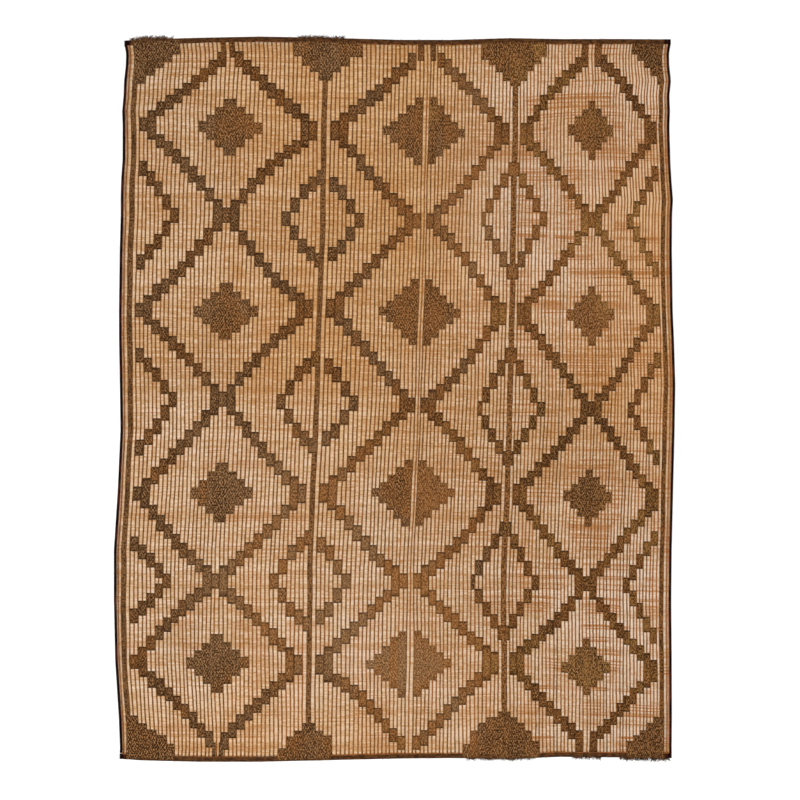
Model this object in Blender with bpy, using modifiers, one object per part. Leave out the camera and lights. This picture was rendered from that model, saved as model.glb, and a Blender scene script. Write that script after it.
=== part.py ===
# Flat floor mat of fine reeds bound by leather thongs, with leather bands, edges and frayed ends.
# Metres, +Z up. The mat lies face up on z = 0: X runs across it, along the reeds, and Y along it.

from collections import namedtuple
import random

import bmesh
import bpy
import numpy as np

# Heights and widths of the pieces
SHEET_CREST = 0.0042  # reeds halfway between two thongs
SHEET_GROOVE = 0.0031  # reeds where a thong pulls them down
BAND_WIDTH = 0.020  # plaited leather across each short end
BAND_HEIGHT = 0.0050
EDGE_WIDTH = 0.0072  # folded leather along each long side
EDGE_HEIGHT = 0.0050
LEATHER_ROUNDING = 0.0012
GAP = 0.0003  # between neighbouring pieces

# Long sides, from the top end to the bottom end: where they lie at each distance along the mat
Section = namedtuple("Section", "along left right")
SECTIONS = (
    Section(1.3436, -1.0169, 1.0411),
    Section(1.2381, -1.0154, 1.0377),
    Section(1.0873, -1.0245, 1.0373),
    Section(0.8234, -1.0283, 1.0415),
    Section(0.5595, -1.0362, 1.0452),
    Section(0.2579, -1.0354, 1.0505),
    Section(-0.1191, -1.0305, 1.0560),
    Section(-0.3453, -1.0418, 1.0497),
    Section(-0.5715, -1.0550, 1.0437),
    Section(-0.7600, -1.0560, 1.0415),
    Section(-0.9862, -1.0494, 1.0441),
    Section(-1.3557, -1.0351, 1.0445),
)

# Short ends, from left to right: the outer lines of the top band and of the bottom band
End = namedtuple("End", "across top bottom")
ENDS = (
    End(-1.0260, 1.3444, -1.3568),
    End(-0.9589, 1.3527, -1.3629),
    End(-0.7327, 1.3572, -1.3670),
    End(-0.5065, 1.3617, -1.3670),
    End(-0.2803, 1.3580, -1.3617),
    End(0.0213, 1.3512, -1.3557),
    End(0.2098, 1.3504, -1.3534),
    End(0.4360, 1.3557, -1.3572),
    End(0.6245, 1.3538, -1.3512),
    End(0.8507, 1.3542, -1.3527),
    End(1.0428, 1.3527, -1.3549),
)

# Columns of bare reed between neighbouring thongs, counted from the left leather edge
COLUMNS = 144
LEFT_STRIPE, LEFT_LINE, SEAM, RIGHT_LINE, RIGHT_STRIPE = 2.5, 47.5, 72, 96.5, 141.5
STRIPE_INSET = 0.0366  # from a long side to the middle of its dark stripe

# The leaning course of the two inner dark lines and of the pale seam between them
Course = namedtuple("Course", "along left_line seam right_line")
COURSES = (
    Course(1.277, -0.2614, 0.1250, 0.4567),
    Course(0.636, -0.2727, 0.1118, 0.4447),
    Course(-0.006, -0.2935, 0.0910, 0.4341),
    Course(-0.647, -0.3191, 0.0628, 0.4115),
    Course(-1.288, -0.3236, 0.0533, 0.4153),
)

# Frayed thong ends: the stretch of an end that each tuft covers, and how far out its longest strand gets
Tuft = namedtuple("Tuft", "name side start stop strands reach")
TUFTS = (
    Tuft("fringe_top_left", "top", -0.9900, -0.8380, 26, 1.3710),
    Tuft("fringe_top_middle", "top", -0.3500, -0.1930, 26, 1.3710),
    Tuft("fringe_bottom_middle", "bottom", 0.3200, 0.4700, 24, 1.3690),
    Tuft("fringe_bottom_short", "bottom", 0.6700, 0.7660, 12, 1.3660),
    Tuft("fringe_bottom_right", "bottom", 0.8650, 1.0380, 30, 1.3710),
)
STRAND_WIDTH = 0.0017
STRAND_HEIGHT = 0.0016
STRAND_SHORTEST = 0.45  # of the longest strand of its tuft
STRAND_DRIFT = 0.0042  # sideways reach of a leaning tip
ROOT_WIDTH = 0.0022  # strip that holds the roots of a tuft

# Colours, roughness
REED = ((0.60, 0.42, 0.25), 0.62)
BAND_LEATHER = ((0.085, 0.038, 0.018), 0.70)
EDGE_LEATHER = ((0.030, 0.012, 0.009), 0.65)
STRAND_LEATHER = ((0.120, 0.060, 0.030), 0.80)


def clear_scene():
    for obj in list(bpy.data.objects):
        bpy.data.objects.remove(obj, do_unlink=True)


def new_collection(name):
    collection = bpy.data.collections.new(name)
    bpy.context.scene.collection.children.link(collection)
    return collection


def make_material(name, finish):
    colour, roughness = finish
    material = bpy.data.materials.new(name)
    material.use_nodes = True
    shader = material.node_tree.nodes["Principled BSDF"]
    shader.inputs["Base Color"].default_value = (*colour, 1.0)
    shader.inputs["Roughness"].default_value = roughness
    shader.inputs["Metallic"].default_value = 0.0
    return material


def read_table(rows, column, key, at):
    """The named column of a table at any value of its key column, straight between rows."""
    ordered = sorted(rows, key=lambda row: getattr(row, key))
    return np.interp(at, [getattr(row, key) for row in ordered], [getattr(row, column) for row in ordered])


def long_side(side, along):
    return float(read_table(SECTIONS, side, "along", along))


def end_line(side, across):
    return float(read_table(ENDS, side, "across", across))


def column_place(column, along):
    """How far across the mat a column lies at a distance along it."""
    left = long_side("left", along)
    right = long_side("right", along)
    marks = {0: left + EDGE_WIDTH + GAP, COLUMNS: right - EDGE_WIDTH - GAP}
    marks[LEFT_STRIPE] = left + STRIPE_INSET
    marks[RIGHT_STRIPE] = right - STRIPE_INSET
    marks[LEFT_LINE] = read_table(COURSES, "left_line", "along", along)
    marks[SEAM] = read_table(COURSES, "seam", "along", along)
    marks[RIGHT_LINE] = read_table(COURSES, "right_line", "along", along)
    return float(np.interp(column, sorted(marks), [marks[key] for key in sorted(marks)]))


def between_bands(across, along):
    """A distance along the mat, fitted between the inner lines of the two bands at that place."""
    first, last = SECTIONS[-1].along, SECTIONS[0].along
    share = (along - first) / (last - first)
    low = end_line("bottom", across) + BAND_WIDTH + GAP
    high = end_line("top", across) - BAND_WIDTH - GAP
    return low + share * (high - low)


def add_object(name, data, material, collection, height=0.0):
    obj = bpy.data.objects.new(name, data)
    obj.location.z = height
    data.materials.append(material)
    collection.objects.link(obj)
    return obj


def make_sheet(material, collection):
    """The reed sheet: one point on each thong and one on each column of reeds, flat underneath."""
    mesh = bmesh.new()
    rows = len(SECTIONS) - 1
    bmesh.ops.create_grid(mesh, x_segments=2 * COLUMNS, y_segments=rows, size=0.5)
    for point in mesh.verts:
        half_columns = round((point.co.x + 0.5) * 2 * COLUMNS)
        along = SECTIONS[rows - round((point.co.y + 0.5) * rows)].along
        across = column_place(half_columns / 2, along)
        height = SHEET_CREST if half_columns % 2 else SHEET_GROOVE
        point.co = (across, between_bands(across, along), height)
    rim = [edge for edge in mesh.edges if edge.is_boundary]
    skirt = bmesh.ops.extrude_edge_only(mesh, edges=rim)["geom"]
    for item in skirt:
        if isinstance(item, bmesh.types.BMVert):
            item.co.z = 0.0
    low_rim = [edge for edge in mesh.edges if edge.is_boundary]
    bmesh.ops.contextual_create(mesh, geom=low_rim)
    bmesh.ops.recalc_face_normals(mesh, faces=mesh.faces)
    data = bpy.data.meshes.new("woven_sheet")
    mesh.to_mesh(data)
    mesh.free()
    return add_object("woven_sheet", data, material, collection)


def make_flat(name, outline, thickness, material, collection, rounding=0.0):
    """A flat piece of even thickness with the outline given, resting on z = 0."""
    curve = bpy.data.curves.new(name, "CURVE")
    curve.dimensions = "2D"
    curve.fill_mode = "BOTH"
    curve.extrude = thickness / 2
    spline = curve.splines.new("POLY")
    spline.points.add(len(outline) - 1)
    for point, (x, y) in zip(spline.points, outline):
        point.co = (x, y, 0.0, 1.0)
    spline.use_cyclic_u = True
    obj = add_object(name, curve, material, collection, thickness / 2)
    weld = obj.modifiers.new("join caps", "WELD")
    weld.merge_threshold = 0.00001
    if rounding:
        round_off = obj.modifiers.new("worn corners", "BEVEL")
        round_off.width = rounding
        round_off.segments = 1
        round_off.limit_method = "ANGLE"
    return obj


def make_band(side, material, collection):
    """The plaited leather across one short end, from long side to long side."""
    inward = -BAND_WIDTH if side == "top" else BAND_WIDTH
    corner_row = SECTIONS[0] if side == "top" else SECTIONS[-1]
    inner_places = [row.across for row in ENDS[1:-1]]
    places = [corner_row.left, *inner_places, corner_row.right]
    outer = [(x, end_line(side, x)) for x in places]
    inner = [(x, y + inward) for x, y in reversed(outer)]
    return make_flat("band_" + side, outer + inner, BAND_HEIGHT, material, collection, LEATHER_ROUNDING)


def make_edge(side, material, collection):
    """The folded leather along one long side, between the two bands."""
    inward = EDGE_WIDTH if side == "left" else -EDGE_WIDTH
    outer = []
    inner = []
    for row in SECTIONS:
        across = long_side(side, row.along)
        outer.append((across, between_bands(across, row.along)))
        inner.append((across + inward, between_bands(across + inward, row.along)))
    outline = outer + inner[::-1]
    return make_flat("edge_" + side, outline, EDGE_HEIGHT, material, collection, LEATHER_ROUNDING)


def strand_lengths(tuft, roots, outward, rng):
    """One length for each strand, the longest of which ends at the tuft's reach."""
    shares = [rng.uniform(STRAND_SHORTEST, 0.95) for _ in roots]
    shares[len(shares) // 2] = 1.0
    longest = tuft.reach - abs(roots[len(roots) // 2][1])
    return [outward * share * longest for share in shares]


def make_fringe(tuft, material, collection):
    """A tuft of flat thong ends lying on the floor, parted but for the strip that holds their roots."""
    rng = random.Random(tuft.name)
    outward = 1 if tuft.side == "top" else -1
    pitch = (tuft.stop - tuft.start) / tuft.strands
    places = [tuft.start + (index + 0.5) * pitch for index in range(tuft.strands)]
    line = [(x, end_line(tuft.side, x) + outward * (GAP + ROOT_WIDTH)) for x in places]
    lengths = strand_lengths(tuft, line, outward, rng)
    drift = 0.0
    outline = []
    for (x, y), length in zip(line, lengths):
        drift += rng.uniform(-0.5, 0.5) * STRAND_WIDTH
        drift = max(-STRAND_DRIFT, min(STRAND_DRIFT, drift))
        half = STRAND_WIDTH / 2
        bend = (x + 0.35 * drift, y + 0.5 * length)
        tip = (x + drift, y + length)
        outline += [(x - half, y), (bend[0] - half, bend[1]), (tip[0] - 0.6 * half, tip[1])]
        outline += [(tip[0] + 0.6 * half, tip[1]), (bend[0] + half, bend[1]), (x + half, y)]
    corners = [row.across for row in ENDS if tuft.start < row.across < tuft.stop]
    back = sorted([tuft.start, *corners, tuft.stop], reverse=True)
    outline += [(x, end_line(tuft.side, x) + outward * GAP) for x in back]
    return make_flat(tuft.name, outline, STRAND_HEIGHT, material, collection)


clear_scene()
mat = new_collection("reed_and_leather_mat")
reed = make_material("reed", REED)
band_leather = make_material("band_leather", BAND_LEATHER)
edge_leather = make_material("edge_leather", EDGE_LEATHER)
strand_leather = make_material("strand_leather", STRAND_LEATHER)
make_sheet(reed, mat)
for end_side in ("top", "bottom"):
    make_band(end_side, band_leather, mat)
for long_edge in ("left", "right"):
    make_edge(long_edge, edge_leather, mat)
for row in TUFTS:
    make_fringe(row, strand_leather, mat)
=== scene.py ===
from collections import namedtuple

import bpy
import numpy as np
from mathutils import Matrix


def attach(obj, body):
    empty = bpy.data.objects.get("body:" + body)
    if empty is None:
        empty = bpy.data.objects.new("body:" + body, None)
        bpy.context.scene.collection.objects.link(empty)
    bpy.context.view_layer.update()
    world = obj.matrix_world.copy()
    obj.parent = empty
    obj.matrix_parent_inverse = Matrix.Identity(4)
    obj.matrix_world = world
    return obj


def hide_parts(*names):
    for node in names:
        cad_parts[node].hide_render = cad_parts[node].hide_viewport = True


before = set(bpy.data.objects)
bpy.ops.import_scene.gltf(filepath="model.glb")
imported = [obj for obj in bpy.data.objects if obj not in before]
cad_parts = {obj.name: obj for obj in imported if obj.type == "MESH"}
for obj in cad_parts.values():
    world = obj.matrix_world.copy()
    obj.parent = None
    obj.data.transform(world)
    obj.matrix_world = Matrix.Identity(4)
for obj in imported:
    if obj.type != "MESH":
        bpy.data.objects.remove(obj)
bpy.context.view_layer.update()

# The mat lies spread on a white studio floor and is seen from straight above through a long lens.
# Two broad soft lamps and a bright room leave hardly any shadow, with a little more light from the left.
LENS_HEIGHT = 7.2
PICTURE_SIDE = 3.016  # metres of floor across the square picture
PICTURE_MIDDLE = (0.0213, -0.0060)
FLOOR_SIDE = 40.0
FLOOR_DROP = 0.0004  # the floor lies a hair under the mat's underside
FLOOR_WHITE = (0.92, 0.92, 0.915, 1.0)
ROOM_WHITE = (0.98, 0.99, 1.0, 1.0)
ROOM_STRENGTH = 0.78

bpy.context.scene.view_settings.view_transform = "Standard"


def soft_lamp(name, place, size, watts, colour):
    """A square lamp that faces the middle of the mat."""
    lamp = bpy.data.lights.new(name, "AREA")
    lamp.size = size
    lamp.energy = watts
    lamp.color = colour
    obj = bpy.data.objects.new(name, lamp)
    obj.location = place
    obj.rotation_euler = obj.location.to_track_quat("Z", "Y").to_euler()
    bpy.context.scene.collection.objects.link(obj)


lens = bpy.data.cameras.new("studio_camera")
lens.sensor_width = 36.0
lens.lens = lens.sensor_width * LENS_HEIGHT / PICTURE_SIDE
lens.clip_end = 100.0
camera = bpy.data.objects.new("studio_camera", lens)
camera.location = (*PICTURE_MIDDLE, LENS_HEIGHT)
bpy.context.scene.collection.objects.link(camera)
bpy.context.scene.camera = camera

soft_lamp("lamp_left", place=(-3.4, -0.9, 5.0), size=3.0, watts=225.0, colour=(1.0, 0.98, 0.95))
soft_lamp("lamp_right", place=(4.2, 0.6, 4.6), size=4.0, watts=130.0, colour=(0.97, 0.98, 1.0))
room = bpy.data.worlds.new("bright_room")
room.use_nodes = True
room.node_tree.nodes["Background"].inputs["Color"].default_value = ROOM_WHITE
room.node_tree.nodes["Background"].inputs["Strength"].default_value = ROOM_STRENGTH
bpy.context.scene.world = room

floor_mesh = bpy.data.meshes.new("studio_floor")
reach = FLOOR_SIDE / 2
floor_corners = [(-reach, -reach, 0), (reach, -reach, 0), (reach, reach, 0), (-reach, reach, 0)]
floor_mesh.from_pydata(floor_corners, [], [(0, 1, 2, 3)])
floor = bpy.data.objects.new("studio_floor", floor_mesh)
floor.location.z = -FLOOR_DROP
bpy.context.scene.collection.objects.link(floor)
floor_paint = bpy.data.materials.new("white_floor")
floor_paint.use_nodes = True
floor_shader = floor_paint.node_tree.nodes["Principled BSDF"]
floor_shader.inputs["Base Color"].default_value = FLOOR_WHITE
floor_shader.inputs["Roughness"].default_value = 0.9
floor_mesh.materials.append(floor_paint)


# The woven body: one stiff cloth of reeds, laid side by side across the mat and bound by leather thongs.
# This piece is its ground and its back. Its long sides wander and its reeds bow, as hand weaving does.
COLUMNS = 144  # of bare reed between neighbouring thongs, counted from the left leather edge
LEFT_STRIPE, LEFT_FIELD, LEFT_LINE, SEAM = 2.5, 25, 47.5, 72
RIGHT_LINE, RIGHT_FIELD, RIGHT_STRIPE = 96.5, 119, 141.5
LEFT_FIELD_SHIFT = 0.0045  # per metre down from the mat's middle: the left field's middle drifts to the left
RIGHT_FIELD_SHIFT = 0.0145  # the right field's middle thong lies off centre
COLUMN_WIDTH = 0.0147  # on average
BAND_WIDTH = 0.020  # of the leather at each end
EDGE_WIDTH = 0.0072
REED_PITCH = 0.00265
GROUND_TOP = 0.0026  # between the reeds
GROUND_BACK = 0.0008  # the reeds' height over the floor, between two thongs
GROUND_ROWS = 64

Side = namedtuple("Side", "along left right")
SIDES = (
    Side(-1.3557, -1.0351, 1.0445),
    Side(-1.3180, -1.0328, 1.0434),
    Side(-1.2050, -1.0370, 1.0445),
    Side(-0.9862, -1.0509, 1.0438),
    Side(-0.7600, -1.0558, 1.0419),
    Side(-0.5715, -1.0558, 1.0438),
    Side(-0.3453, -1.0411, 1.0491),
    Side(-0.1191, -1.0309, 1.0547),
    Side(0.0505, -1.0332, 1.0573),
    Side(0.2200, -1.0362, 1.0524),
    Side(0.3300, -1.0365, 1.0475),
    Side(0.5595, -1.0336, 1.0443),
    Side(0.6915, -1.0298, 1.0452),
    Side(0.7480, -1.0302, 1.0485),
    Side(0.8234, -1.0283, 1.0426),
    Side(0.8990, -1.0230, 1.0384),
    Side(1.0270, -1.0226, 1.0350),
    Side(1.0830, -1.0245, 1.0373),
    Side(1.1400, -1.0192, 1.0350),
    Side(1.1965, -1.0172, 1.0410),
    Side(1.2530, -1.0109, 1.0346),
    Side(1.2980, -1.0094, 1.0335),
    Side(1.3436, -1.0169, 1.0411),
)
End = namedtuple("End", "across top bottom")
ENDS = (
    End(-1.0260, 1.3444, -1.3585),
    End(-0.9589, 1.3527, -1.3640),
    End(-0.7327, 1.3590, -1.3695),
    End(-0.5065, 1.3635, -1.3695),
    End(-0.2803, 1.3595, -1.3640),
    End(0.0213, 1.3512, -1.3572),
    End(0.2098, 1.3508, -1.3555),
    End(0.4360, 1.3577, -1.3580),
    End(0.6245, 1.3542, -1.3508),
    End(0.8507, 1.3544, -1.3530),
    End(1.0428, 1.3529, -1.3549),
)
# The outer dark stripes' middles are given by their distance from the long sides
Course = namedtuple("Course", "along left_inset left_line seam right_line right_inset")
COURSES = (
    Course(-1.288, 0.0312, -0.3236, 0.0533, 0.4142, 0.0370),
    Course(-0.647, 0.0345, -0.3191, 0.0628, 0.4124, 0.0355),
    Course(-0.006, 0.0365, -0.2935, 0.0915, 0.4370, 0.0340),
    Course(0.636, 0.0400, -0.2717, 0.1118, 0.4480, 0.0310),
    Course(1.277, 0.0405, -0.2595, 0.1255, 0.4580, 0.0310),
)
# How far these columns stray to the right of even spacing, because the weaver packed the strips unevenly
STRAY_COLUMNS = (12, 25, 60, 71, 73, 85)
Stray = namedtuple("Stray", "along by_12 by_25 by_60 by_71 by_73 by_85")
STRAYS = (
    Stray(-1.27, 0.005, -0.002, 0.010, 0.003, 0.001, -0.003),
    Stray(-1.00, 0.001, -0.004, 0.007, 0.002, 0.000, -0.003),
    Stray(-0.62, 0.003, -0.003, 0.010, 0.002, -0.005, -0.004),
    Stray(0.00, -0.003, -0.003, 0.013, 0.004, -0.006, -0.002),
    Stray(0.65, -0.006, -0.004, 0.010, 0.002, -0.005, -0.006),
    Stray(1.27, -0.003, -0.004, 0.009, 0.002, -0.003, -0.002),
)
OUTER_STRAY = {1: -0.0035, 143: 0.0015}  # the outermost thongs lie nearer to the edges
STILL_COLUMNS = (0, LEFT_STRIPE, LEFT_LINE, SEAM, RIGHT_LINE, RIGHT_STRIPE, COLUMNS)  # these don't stray
# Where a reed lies that runs through a line of motifs, seen at the stripes and the middles of the fields
Row = namedtuple("Row", "name left_stripe left_field left_line seam right_line right_field right_stripe")
ROWS = (
    Row("diamonds_4", -0.990, -0.994, -1.003, -0.998, -0.996, -1.014, -1.030),
    Row("crossing_3", -0.685, -0.690, -0.688, -0.688, -0.692, -0.700, -0.707),
    Row("diamonds_3", -0.359, -0.356, -0.357, -0.353, -0.359, -0.371, -0.382),
    Row("crossing_2", -0.004, -0.002, -0.016, -0.025, -0.042, -0.042, -0.044),
    Row("diamonds_2", 0.333, 0.322, 0.341, 0.326, 0.318, 0.314, 0.316),
    Row("crossing_1", 0.690, 0.691, 0.671, 0.669, 0.680, 0.671, 0.665),
    Row("diamonds_1", 1.035, 1.023, 1.008, 1.006, 0.993, 1.014, 1.001),
)
ANCHORS = np.array(
    (0, LEFT_STRIPE, LEFT_FIELD, LEFT_LINE, SEAM, RIGHT_LINE, RIGHT_FIELD, RIGHT_STRIPE, COLUMNS)
)
# Small waves of the thongs and of the reeds, with how fast they turn along the mat and from column to column
Ripple = namedtuple("Ripple", "height by_along by_column")
THONG_RIPPLES = (
    Ripple(0.0011, 9.0, 0.31), Ripple(0.0007, 23.0, -0.8), Ripple(0.0008, 0.0, 2.7), Ripple(0.0006, 5.3, 4.4)
)
REED_RIPPLES = (Ripple(0.0011, 9.0, 0.33), Ripple(0.0008, -17.0, 0.12))
REED_RIPPLE_FADE = 0.1  # the reeds' ripples die away over this distance from the mat's ends


def read_table(rows, column, key, at):
    """The named column of a table at any values of its key column, straight between its rows."""
    return np.interp(at, [getattr(row, key) for row in rows], [getattr(row, column) for row in rows])


def between_stops(stops, values, column, smooth=False):
    """Values known at those columns, found at any column. The first axis of values is the stops'."""
    part = np.clip(np.searchsorted(stops, column, side="right") - 1, 0, len(stops) - 2)
    low = np.take_along_axis(values, part[None], 0)[0]
    high = np.take_along_axis(values, part[None] + 1, 0)[0]
    share = (column - stops[part]) / (stops[part + 1] - stops[part])
    if smooth:
        share = share * share * (3 - 2 * share)
    return low + share * (high - low)


def rippled(ripples, along, column):
    return sum(wave.height * np.sin(wave.by_along * along + wave.by_column * column) for wave in ripples)


def stray(column, along):
    """How far the columns stray to the right there."""
    stops = np.array(sorted({*STILL_COLUMNS, *STRAY_COLUMNS, *OUTER_STRAY}), float)
    shifts = [
        read_table(STRAYS, f"by_{stop:.0f}", "along", along) if stop in STRAY_COLUMNS
        else OUTER_STRAY.get(stop, 0) + 0 * along
        for stop in stops
    ]
    return between_stops(stops, np.stack(shifts), column)


def across_at(column, along):
    """How far across the mat the columns lie at those distances along it."""
    column, along = np.broadcast_arrays(np.asarray(column, float), np.asarray(along, float))
    left = read_table(SIDES, "left", "along", along)
    right = read_table(SIDES, "right", "along", along)
    lines = [read_table(COURSES, name, "along", along) for name in ("left_line", "seam", "right_line")]
    stripe = left + read_table(COURSES, "left_inset", "along", along)
    right_stripe = right - read_table(COURSES, "right_inset", "along", along)
    left_field = (stripe + lines[0]) / 2 - LEFT_FIELD_SHIFT * np.clip(-along, 0, None)
    right_field = (lines[2] + right_stripe) / 2 + RIGHT_FIELD_SHIFT
    places = [left + EDGE_WIDTH, stripe, left_field, *lines, right_field, right_stripe, right - EDGE_WIDTH]
    inside = np.clip(np.minimum(column, COLUMNS - column) / LEFT_STRIPE, 0, 1)
    wander = rippled(THONG_RIPPLES, along, column) * inside
    return between_stops(ANCHORS, np.stack(places), column) + wander + stray(column, along)


def end_line(side, across):
    """The mat's outer line at its top or its bottom end."""
    return read_table(ENDS, side, "across", across)


def inner_line(side, column):
    """Where the inner side of an end's leather band crosses a column."""
    top = side == "top"
    outer = SIDES[-1 if top else 0].along
    return end_line(side, across_at(column, outer)) - (BAND_WIDTH if top else -BAND_WIDTH)


bows = np.array([row[1:] for row in ROWS])
bows = np.column_stack([bows[:, 0], bows, bows[:, -1]])
bows = np.vstack([inner_line("bottom", ANCHORS), bows, inner_line("top", ANCHORS)])
ROW_LEVELS = bows.mean(axis=1)  # a reed's level is how far along the mat it would lie, were it straight
LEVEL = dict(zip(["bottom", *[row.name for row in ROWS], "top"], ROW_LEVELS))


def along_at(column, level):
    """How far along the mat a reed of that level lies where it crosses the columns."""
    column, level = np.broadcast_arrays(np.asarray(column, float), np.asarray(level, float))
    inside = np.clip(level, ROW_LEVELS[0], ROW_LEVELS[-1])
    places = np.stack([np.interp(inside, ROW_LEVELS, bows[:, k]) for k in range(len(ANCHORS))])
    from_end = np.clip((ROW_LEVELS[-1] - np.abs(inside)) / REED_RIPPLE_FADE, 0, 1)
    ripple = rippled(REED_RIPPLES, level, column) * from_end
    return between_stops(ANCHORS, places, column, smooth=True) + ripple + (level - inside)


def mat_point(column, level, height):
    """Points of the mat from the columns and levels that the weave counts in."""
    along = along_at(column, level)
    return np.stack(np.broadcast_arrays(across_at(column, along), along, np.asarray(height, float)), axis=-1)


def mesh_piece(name, points, face_sets, bake_sets, finish):
    """A new piece on the mat's one body, from its points and its faces in sets of a like number of corners.
    Each set of faces has its corners' places on the flat map that the finish is baked to."""
    corners = np.concatenate([faces.ravel() for faces in face_sets]).astype(np.int32)
    counts = np.concatenate([np.full(len(faces), faces.shape[1]) for faces in face_sets])
    starts = np.concatenate([[0], np.cumsum(counts)[:-1]]).astype(np.int32)
    mesh = bpy.data.meshes.new(name)
    mesh.vertices.add(len(points))
    mesh.vertices.foreach_set("co", np.asarray(points, np.float32).ravel())
    mesh.loops.add(len(corners))
    mesh.loops.foreach_set("vertex_index", corners)
    mesh.polygons.add(len(starts))
    mesh.polygons.foreach_set("loop_start", starts)
    mesh.update(calc_edges=True)
    mesh.shade_smooth()
    flat_map = mesh.uv_layers.new(name="OFBake")
    flat_map.data.foreach_set("uv", np.concatenate([b.ravel() for b in bake_sets]).astype(np.float32))
    mesh.materials.append(finish)
    piece = bpy.data.objects.new(name, mesh)
    bpy.context.scene.collection.objects.link(piece)
    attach(piece, "root")
    return piece


def lay_map(piece, name, shape, first, second):
    """Two numbers for each of the piece's points, which lie in that shape. A finish reads them by name."""
    layer = piece.data.uv_layers.new(name=name)
    corners = np.empty(len(piece.data.loops), dtype=np.int32)
    piece.data.loops.foreach_get("vertex_index", corners)
    both = np.stack([np.broadcast_to(first, shape), np.broadcast_to(second, shape)], -1)
    layer.data.foreach_set("uv", both.reshape(-1, 2)[corners].astype(np.float32).ravel())


class Reading:
    """One socket of the finish that is being made. Sums on it add Math nodes."""

    def __init__(self, tree, socket=None):
        self.tree = tree
        self.socket = socket

    def make(self, kind, settings=None, sockets=None, output=0):
        """Adds a node: its settings first, then the values or links of its sockets."""
        node = self.tree.nodes.new(kind)
        for name, value in (settings or {}).items():
            setattr(node, name, value)
        for name, value in (sockets or {}).items():
            if isinstance(value, Reading):
                self.tree.links.new(value.socket, node.inputs[name])
            else:
                node.inputs[name].default_value = value
        return Reading(self.tree, node.outputs[output] if node.outputs else None)

    def maths(self, operation, *terms):
        return self.make("ShaderNodeMath", {"operation": operation}, dict(enumerate(terms)))

    def __add__(self, other):
        return self.maths("ADD", self, other)

    def __sub__(self, other):
        return self.maths("SUBTRACT", self, other)

    def __rsub__(self, other):
        return self.maths("SUBTRACT", other, self)

    def __mul__(self, other):
        return self.maths("MULTIPLY", self, other)

    __radd__ = __add__
    __rmul__ = __mul__

    def size(self):
        return self.maths("ABSOLUTE", self)

    def larger(self, other):
        return self.maths("MAXIMUM", self, other)

    def wave(self):
        """A triangle wave of period 1: 0 at whole numbers and 1 halfway between them."""
        return self.maths("PINGPONG", self, 0.5) * 2.0

    def between(self, low, high):
        """0 under low, 1 over high, and smooth between them."""
        sockets = {"Value": self, "From Min": low, "From Max": high}
        return self.make("ShaderNodeMapRange", {"interpolation_type": "SMOOTHSTEP"}, sockets)


def blend(share, first, second, kind="MIX"):
    """Two colours mixed: the first alone at share 0, the second in full at share 1."""
    settings = {"data_type": "RGBA", "blend_type": kind}
    return share.make("ShaderNodeMix", settings, {0: share, 6: first, 7: second}, output=2)


def speckle(start, stretch, detail=2.0):
    """Noise about 0.5 over the piece's own length and width, with that many grains a metre along each."""
    place = start.make("ShaderNodeTexCoord", output=3)
    stretched = start.make("ShaderNodeMapping", None, {"Vector": place, "Scale": stretch})
    return start.make("ShaderNodeTexNoise", None, {"Vector": stretched, "Scale": 1.0, "Detail": detail})


def read_map(start, name):
    """The two numbers of a piece's map, as two readings."""
    both = start.make("ShaderNodeUVMap", {"uv_map": name})
    return [start.make("ShaderNodeSeparateXYZ", None, {"Vector": both}, output=k) for k in range(2)]


def read_value(start, name):
    return start.make("ShaderNodeAttribute", {"attribute_name": name}, output=2)


def start_finish(name):
    finish = bpy.data.materials.new(name)
    finish.use_nodes = True
    finish.node_tree.nodes.clear()
    return finish, Reading(finish.node_tree)


def close_finish(start, colour, roughness, height, depth, specular=0.03):
    """Ends a finish in its shader. The relief is height times depth, in metres."""
    bump = start.make("ShaderNodeBump", None, {"Height": height, "Distance": depth})
    sockets = {"Base Color": colour, "Roughness": roughness, "Normal": bump, "Specular IOR Level": specular}
    shader = start.make("ShaderNodeBsdfPrincipled", None, sockets)
    start.make("ShaderNodeOutputMaterial", None, {"Surface": shader})


REED_CREAM = (0.73, 0.60, 0.475, 1.0)
REED_PALE = (0.605, 0.427, 0.26, 1.0)
REED_STRAW = (0.485, 0.26, 0.098, 1.0)
# the rust stain beside the thongs, which also stands for the painted shade where the reeds dip under them
REED_STAIN_AND_SHADE = (0.36, 0.145, 0.028, 1.0)
REED_DYED = (0.44, 0.165, 0.030, 1.0)
GOLDEN = (0.98, 0.82, 0.59, 1.0)
BACK_THONG = (0.12, 0.05, 0.02, 1.0)


# Reeds and leather have aged unevenly. A spot is round and soft, and counts less and less up to its reach.
# A slope counts nothing at the first column or level and fully at the second. With a third number, the first
# two are distances to either side of it.
Spot = namedtuple("Spot", "column level wide high strength")
Slope = namedtuple("Slope", "columns levels strength")
EVERYWHERE = (-9.0, -8.0)
GOLDEN_REED = (
    Slope((52.0, 8.0, 60.0), EVERYWHERE, 0.15),
    Slope((52.0, 8.0, 60.0), (-0.7, 0.6), 0.45),
    Slope(EVERYWHERE, (-0.5, 0.3), 0.15),
    Slope((84.0, 130.0), (0.1, -0.8), -0.2),
    Slope((110.0, 50.0), (-1.0, -1.3), 0.4),
    Spot(144.0, 0.3, 34.0, 0.9, 0.6),
    Spot(94.0, 0.9, 18.0, 0.7, -0.25),
)
BLEACHED_REED = (
    Slope((100.0, 120.0), (-0.3, -0.6), 1.0),
    Slope((72.0, 92.0), (0.1, 0.5), 0.7),
    Slope((45.0, 10.0, 58.0), (-0.5, -1.0), 0.5),
    Slope((112.0, 135.0), EVERYWHERE, 0.35),
    Spot(144.0, 0.9, 30.0, 0.9, 0.9),
)
DULL_REED = (Spot(118.0, -0.15, 20.0, 0.4, 2.0), Spot(40.0, 0.45, 54.0, 0.6, 1.5))


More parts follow.
